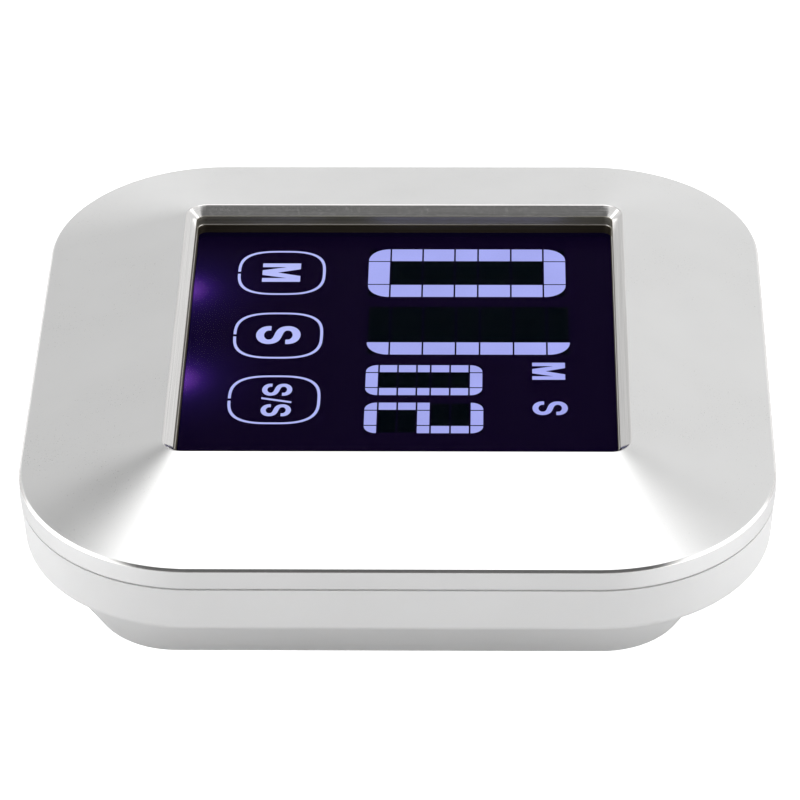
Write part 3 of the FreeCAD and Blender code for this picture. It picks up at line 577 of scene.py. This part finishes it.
class Digit:
    """One digit cell of stacked blocks: two side columns and three bars."""

    def __init__(self, left, right, low, high, column):
        self.left, self.right, self.low, self.high = left, right, low, high
        self.column = column

    def level(self, step):
        return self.low + (self.high - self.low) * SPLITS[step]

    def reach(self, step):
        """The lower and upper edge of a block, with a gap towards its neighbours."""
        low = self.level(step) + (LINE_GAP / 2 if step else 0)
        high = self.level(step + 1) - (LINE_GAP / 2 if step < LAST_BLOCK else 0)
        return low, high

    def blocks(self, side, steps):
        """Blocks of one side column."""
        left = self.left if side == "left" else self.right - self.column
        made = []
        for step in steps:
            low, high = self.reach(step)
            corner = {0: f"low_{side}", LAST_BLOCK: f"high_{side}"}.get(step)
            made.append(block(left, low, left + self.column, high, (corner,),
                              self.column * BLOCK_ROUND))
        return made

    def bar(self, step):
        """The middle of the bottom bar, the middle bar or the top bar."""
        low, high = self.reach(step)
        inset = self.column + LINE_GAP
        return block(self.left + inset, low, self.right - inset, high)

    def shadow(self):
        """The dark blocks behind the whole cell."""
        made = []
        for step in EVERY_BLOCK:
            low, high = self.level(step) + LINE_GAP / 2, self.level(step + 1) - LINE_GAP / 2
            made.append(block(self.left + SHADOW_INSET, low, self.right - SHADOW_INSET, high))
        return made


BIG_ZERO = Digit(-22.18, -11.55, -4.2, 19.5, 2.65)
BIG_ONE = Digit(-9.49, 0.94, -4.04, 19.86, 2.6)
SMALL_ZERO = Digit(3.2, 9.45, -3.98, 9.6, 1.46)
SMALL_TWO = Digit(11.02, 17.23, -3.96, 9.74, 1.46)
KEYS = ((-21.79, -11.96, -19.93, -9.36), (-8.04, 1.84, -19.83, -9.24),
        (5.41, 15.46, -19.83, -9.11))


def lit_digits():
    """The blocks of the reading, one minute and two seconds."""
    shapes = []
    for zero in (BIG_ZERO, SMALL_ZERO):
        shapes += zero.blocks("left", EVERY_BLOCK) + zero.blocks("right", EVERY_BLOCK)
        shapes += [zero.bar(0), zero.bar(LAST_BLOCK)]
    shapes += BIG_ONE.blocks("right", EVERY_BLOCK)
    two = SMALL_TWO
    shapes += two.blocks("left", (0, 1, 2, 3)) + two.blocks("right", (3, 4, 5, 6))
    shapes += two.blocks("right", (0,)) + two.blocks("left", (LAST_BLOCK,))
    shapes += [two.bar(0), two.bar(3), two.bar(LAST_BLOCK)]
    return shapes


def key_outline(left, right, low, high):
    """A soft square ring, open for a hair's breadth in the middle of its lower side."""
    centre_x, centre_y = (left + right) / 2, (low + high) / 2
    half_x, half_y = (right - left) / 2, (high - low) / 2
    start = (KEY_GAP / 2 / half_x) ** (KEY_SQUARENESS / 2)
    turn = 2 * math.pi - 2 * start
    rings = []
    for inset in (0, KEY_STROKE):
        ring = []
        for step in range(KEY_STEPS + 1):
            angle = start - math.pi / 2 + turn * step / KEY_STEPS
            cosine, sine = math.cos(angle), math.sin(angle)
            reach_x = math.copysign(abs(cosine) ** (2 / KEY_SQUARENESS), cosine)
            reach_y = math.copysign(abs(sine) ** (2 / KEY_SQUARENESS), sine)
            ring.append((centre_x + reach_x * (half_x - inset),
                         centre_y + reach_y * (half_y - inset)))
        rings.append(ring)
    outer, inner = rings
    return [(outer[step], outer[step + 1], inner[step + 1], inner[step])
            for step in range(KEY_STEPS)]


def stroke_quads(path, width):
    """A ribbon of quads along a path."""
    edges = []
    for place, (x, y) in enumerate(path):
        before = path[max(place - 1, 0)]
        after = path[min(place + 1, len(path) - 1)]
        run = Vector((after[0] - before[0], after[1] - before[1])).normalized()
        side = Vector((-run.y, run.x)) * width / 2
        edges.append(((x + side.x, y + side.y), (x - side.x, y - side.y)))
    return [(a, b, d, c) for (a, b), (c, d) in zip(edges, edges[1:])]


def letter_m(left, right, low, high):
    """A bold upright M."""
    width = right - left
    stem = width * 0.2
    middle = (left + right) / 2
    foot = width * 0.125
    near, far = width * 0.108, width * 0.3125
    return [
        block(left, low, left + stem, high),
        block(right - stem, low, right, high),
        [(left + near, high), (left + far, high), (middle + foot, low), (middle - foot, low)],
        [(right - far, high), (right - near, high), (middle + foot, low), (middle - foot, low)],
    ]


def letter_s(left, right, low, high):
    """A bold S: two half-round bowls joined by a slanting spine, with level-cut ends."""
    width, height = right - left, high - low
    stroke = width * 0.245
    reach_x = (width - stroke) / 2
    reach_y = height * 0.19
    middle = (left + right) / 2
    top_y, bottom_y = high - stroke / 2 - reach_y, low + stroke / 2 + reach_y
    end = height * 0.055
    path = [(middle + reach_x, top_y - end)]
    for step in range(S_STEPS + 1):
        angle = math.pi * step / S_STEPS
        path.append((middle + reach_x * math.cos(angle), top_y + reach_y * math.sin(angle)))
    lean = (top_y - bottom_y) * 0.72
    spine = [Vector((middle - reach_x, top_y)), Vector((middle - reach_x, top_y - lean)),
             Vector((middle + reach_x, bottom_y + lean)), Vector((middle + reach_x, bottom_y))]
    for step in range(1, S_STEPS):
        share = step / S_STEPS
        rest = 1 - share
        point = (spine[0] * rest ** 3 + spine[1] * 3 * rest ** 2 * share
                 + spine[2] * 3 * rest * share ** 2 + spine[3] * share ** 3)
        path.append((point.x, point.y))
    for step in range(S_STEPS + 1):
        angle = -math.pi * step / S_STEPS
        path.append((middle + reach_x * math.cos(angle), bottom_y + reach_y * math.sin(angle)))
    path.append((middle - reach_x, bottom_y + end))
    return stroke_quads(path, stroke)


def build_artwork(lit, lit_keys, dark):
    """Digits, unit letters, key rings and key letters just over the display film."""
    low = DISPLAY_Z + 0.015 * MM
    high = low + 0.012 * MM
    thick = 0.0096 * MM
    shadows = [shape for digit in (BIG_ZERO, BIG_ONE, SMALL_ZERO, SMALL_TWO)
               for shape in digit.shadow()]
    rings = [quad for key in KEYS for quad in key_outline(*key)]
    key_letters = letter_m(-18.96, -14.86, -16.98, -12.39)
    key_letters += letter_s(-5.1, -1.26, -17.15, -11.89)
    key_letters += letter_s(7.14, 9.62, -15.93, -12.43)
    key_letters += [[(9.95, -15.95), (10.31, -15.95), (11.15, -12.45), (10.79, -12.45)]]
    key_letters += letter_s(11.4, 13.84, -15.93, -12.43)
    units = letter_m(2.64, 6.2, 15.41, 19.24) + letter_s(10.71, 13.5, 15.41, 19.48)
    layers = (("dark_segments", shadows, low, dark), ("lit_digits", lit_digits(), high, lit),
              ("unit_letters", units, high, lit), ("key_rings", rings, high, lit_keys),
              ("key_letters", key_letters, high, lit_keys))
    for name, shapes, z, material in layers:
        place_on_case(plates(name, shapes, z, thick, material), "display_glass")


# ---------------------------------------------------------------- studio and the rest
# Brightness at angles up from the far horizon, over the top, to the camera's horizon.
SKY_FULL = 4.0
SKY_ARCH = ((0, 1.04), (28, 0.98), (46, 1.03), (55, 2.0), (62, 2.7), (84, 2.7),
            (96, 1.2), (104, 0.2), (128, 0.17), (140, 0.4), (155, 0.62), (180, 0.66))
# Soft patches: direction, angle of the flat core, angle where it ends, brightness.
SKY_PATCHES = (
    ((0.2, -1, 0.15), 25, 50, 2.7), ((0.2, 1, 0.15), 25, 50, 2.7),
    ((-0.1, -0.56, 0.82), 8, 19, 0.95), ((-0.1, 0.56, 0.82), 8, 19, 0.95),
    ((-0.83, 0.54, 0.15), 6, 18, 1.0), ((-0.83, -0.55, 0.11), 6, 18, 0.79),
    ((-0.57, -0.33, 0.77), 6.5, 15, 0.16), ((-0.56, 0.25, 0.79), 5, 14, 0.45),
    ((-0.83, -0.34, 0.47), 4, 16, 0.78),
)
# The floor reaches out to this, and is open under the pedestal's resting face.
FLOOR_REACH = 3.0
FLOOR_HOLE_HALF = 33.5 * MM
FLOOR_HOLE_CORNER = 9.45 * MM
FLOOR_HOLE_Y = -1.0 * MM
# Painted light and shade in the floor's colour: darker near the middle so less bounce light
# reaches the case's front, paler far aside so more reaches its ends; and where the change starts
# and ends.
FLOOR_PAINTED_SHADE_MIDDLE = 0.66
FLOOR_PAINTED_LIGHT_SIDES = 0.97
FLOOR_FLAT = 0.45
FLOOR_SPREAD = 68 * MM
# Rays shorter than this pass the floor, so that pieces lying on it are lit from below.
FLOOR_TOUCH = 0.3 * MM


def dress_cad_nodes(materials):
    """Give every carried-over CAD node its material, and soft edges where they show."""
    for material, names in materials:
        for name in names:
            mesh = NODES[name].data
            mesh.materials.clear()
            mesh.materials.append(material)
            mesh.shade_smooth()
            mesh.set_sharp_from_angle(angle=CAD_CREASE)
    for name, width in (("battery_door", 0.12 * MM), ("stand", 0.2 * MM),
                        ("switch_knob", 0.1 * MM), ("case_screws", 0.06 * MM),
                        ("magnets", 0.15 * MM)):
        bevel = NODES[name].modifiers.new("soft_edges", "BEVEL")
        bevel.width = width
        bevel.segments = 2
        bevel.limit_method = "ANGLE"
        bevel.angle_limit = CAD_BEVEL
        weigh_normals(NODES[name])


def build_stage():
    """Pale floor, open under the pedestal and clear from below, so the underside can be seen."""
    work = bmesh.new()
    level = cad_low.z - 0.02 * MM
    inner = [point + Vector((0, FLOOR_HOLE_Y, 0))
             for point in square_ring(FLOOR_HOLE_HALF, FLOOR_HOLE_CORNER, level)]
    outer = square_ring(FLOOR_REACH, FLOOR_REACH / 2, level)
    inner, outer = ([work.verts.new(point) for point in ring] for ring in (inner, outer))
    join_rings(work, outer, inner)
    s = Shader("floor")
    # Painted light: the floor's colour is darker in the middle and paler far aside, to shape the
    # bounce light on the case.
    painted_light_aside = s.math("MULTIPLY", s.math("ABSOLUTE", s.axes()["Y"]), 1 / FLOOR_SPREAD)
    cloud = s.math("ADD", painted_light_aside, s.math("MULTIPLY", s.noise(scale=3), 0.05))
    colour = s.ramp(cloud, (FLOOR_FLAT, (FLOOR_PAINTED_SHADE_MIDDLE,) * 3), (1.0, (FLOOR_PAINTED_LIGHT_SIDES,) * 3))
    matt = s.add("ShaderNodeBsdfDiffuse", Color=colour)
    path = s.add("ShaderNodeLightPath").outputs
    glow = s.add("ShaderNodeEmission", Color=(1, 1, 1, 1), Strength=path["Is Camera Ray"])
    both = s.add("ShaderNodeAddShader")
    for socket, part in zip(both.inputs, (matt, glow)):
        s.feed(socket, part.outputs[0])
    clear = s.add("ShaderNodeBsdfTransparent").outputs[0]
    touching = s.math("LESS_THAN", path["Ray Length"], FLOOR_TOUCH)
    below = s.add("ShaderNodeNewGeometry").outputs["Backfacing"]
    hidden = s.math("MAXIMUM", below, touching)
    surface = s.mix(hidden, both.outputs[0], clear)
    object_from(work, "floor", [s.finish(surface)])


def build_world():
    """A white studio. Brightness follows the angle up from the far horizon over the top to
    the camera's horizon: a bright panel leans in from the far side, with a dark gap behind it."""
    s = Shader("studio", "World", "Generated")
    back = s.add("ShaderNodeBackground")
    bpy.context.scene.world = s.finish(back.outputs[0])
    axes = s.axes()
    turn = s.math("ARCTAN2", axes["Z"], s.math("MULTIPLY", axes["X"], -1.0))
    share = s.math("MULTIPLY", turn, 1 / math.pi)
    arch = s.ramp(share, *((degrees / 180, (level / SKY_FULL,) * 3)
                           for degrees, level in SKY_ARCH))
    level = s.math("MULTIPLY", s.add("ShaderNodeRGBToBW", Color=arch).outputs[0], SKY_FULL)

    def mixed(factor, first, second):
        part = s.math("MULTIPLY", first, s.math("SUBTRACT", 1.0, factor))
        return s.math("ADD", part, s.math("MULTIPLY", second, factor))

    for (x, y, z), inner, outer, value in SKY_PATCHES:
        near = s.vector("DOT_PRODUCT", s.place, Vector((x, y, z)).normalized())["Value"]
        fade = s.add("ShaderNodeMapRange", interpolation_type="SMOOTHSTEP", Value=near)
        fade.inputs["From Min"].default_value = math.cos(math.radians(outer))
        fade.inputs["From Max"].default_value = math.cos(math.radians(inner))
        level = mixed(fade.outputs[0], level, value)
    seen = s.add("ShaderNodeLightPath").outputs["Is Camera Ray"]
    s.feed(back.inputs["Strength"], mixed(seen, level, 1.0))


def build_camera():
    """A long lens from the display's right-hand side, 34 degrees above the table."""
    azimuth, elevation, roll = math.radians(91.49), math.radians(34.01), math.radians(-0.73)
    distance = 0.5364
    aim = Vector((9.44, 0.08, 18.0)) * MM
    back = Vector((math.sin(azimuth) * math.cos(elevation),
                   -math.cos(azimuth) * math.cos(elevation), math.sin(elevation)))
    camera = bpy.data.cameras.new("camera")
    camera.sensor_width = 36.0
    camera.lens = 208.37
    made = bpy.data.objects.new("camera", camera)
    bpy.context.scene.collection.objects.link(made)
    made.location = aim + back * distance
    turn = (-back).to_track_quat("-Z", "Y")
    made.rotation_mode = "QUATERNION"
    made.rotation_quaternion = turn @ Quaternion((0, 0, 1), roll)
    camera.clip_start = 0.01
    camera.clip_end = 20.0
    bpy.context.scene.camera = made


def main():
    white = white_plastic()
    steel = plain_metal("bright_steel", (0.72, 0.72, 0.71))
    black = plain_plastic("black_plastic", (0.012, 0.012, 0.013), 0.12)
    polished = polished_metal()
    # The bezel's wall and the lip's wall are lit and shaded copies of one metal: besides the
    # walls' own dark tone, the lip's much darker tint is painted shade deep in the window.
    build_bezel([satin_metal(), polished, band_metal(),
                 wall_metal("bezel_wall", (0.34, 0.325, 0.28))])
    build_window_lip([wall_metal("lip_wall_painted_shade", (0.096, 0.081, 0.058)), black, polished])
    build_cover_glass(cover_glass_material())
    build_artwork(lit_segment("lit_digits", (0.41, 0.44, 0.89)),
                  lit_segment("lit_keys", (0.49, 0.53, 0.97)), dark_segment())
    glass = plain_plastic("display_glass", (0.35, 0.4, 0.45), 0.05)
    chips = plain_plastic("black_epoxy", (0.02, 0.02, 0.02), 0.25)
    dress_cad_nodes((
        (white, ("rear_housing", "stand", "battery_door", "lcd_holder", "reflector")),
        (steel, ("case_screws", "board_screws", "magnets", "crystal", "switch_body",
                 "link_contact", "spring_contact", "plate_contact")),
        (display_film(), ("lcd_front_polariser",)),
        (plain_plastic("rear_polariser", (0.02, 0.02, 0.05), 0.2), ("lcd_rear_polariser",)),
        (glass, ("lcd_front_glass", "lcd_rear_glass")),
        (plain_plastic("clear_acrylic", (0.5, 0.45, 0.8), 0.1), ("light_guide",)),
        (plain_plastic("led_body", (0.9, 0.88, 0.6), 0.3), ("backlight_leds",)),
        (tape_film(), ("lens_tape",)),
        (plain_plastic("striped_rubber", (0.04, 0.04, 0.04), 0.6), ("lcd_contact_strip",)),
        (circuit_board(), ("main_board",)),
        (chips, ("timer_chip", "touch_chip", "board_parts")),
        (plain_plastic("knob_plastic", (0.02, 0.02, 0.022), 0.35), ("switch_knob",)),
        (cell_wrap(), ("cell_upper", "cell_lower")),
        (plain_metal("brass", (0.78, 0.56, 0.24)), ("buzzer_disc",)),
        (plain_plastic("silvered_ceramic", (0.75, 0.74, 0.7), 0.4), ("buzzer_ceramic",)),
        (plain_plastic("lead_insulation", (0.5, 0.03, 0.02), 0.4), ("buzzer_leads",)),
    ))
    build_stage()
    build_world()
    build_camera()
    bpy.context.scene.view_settings.view_transform = "Standard"


main()
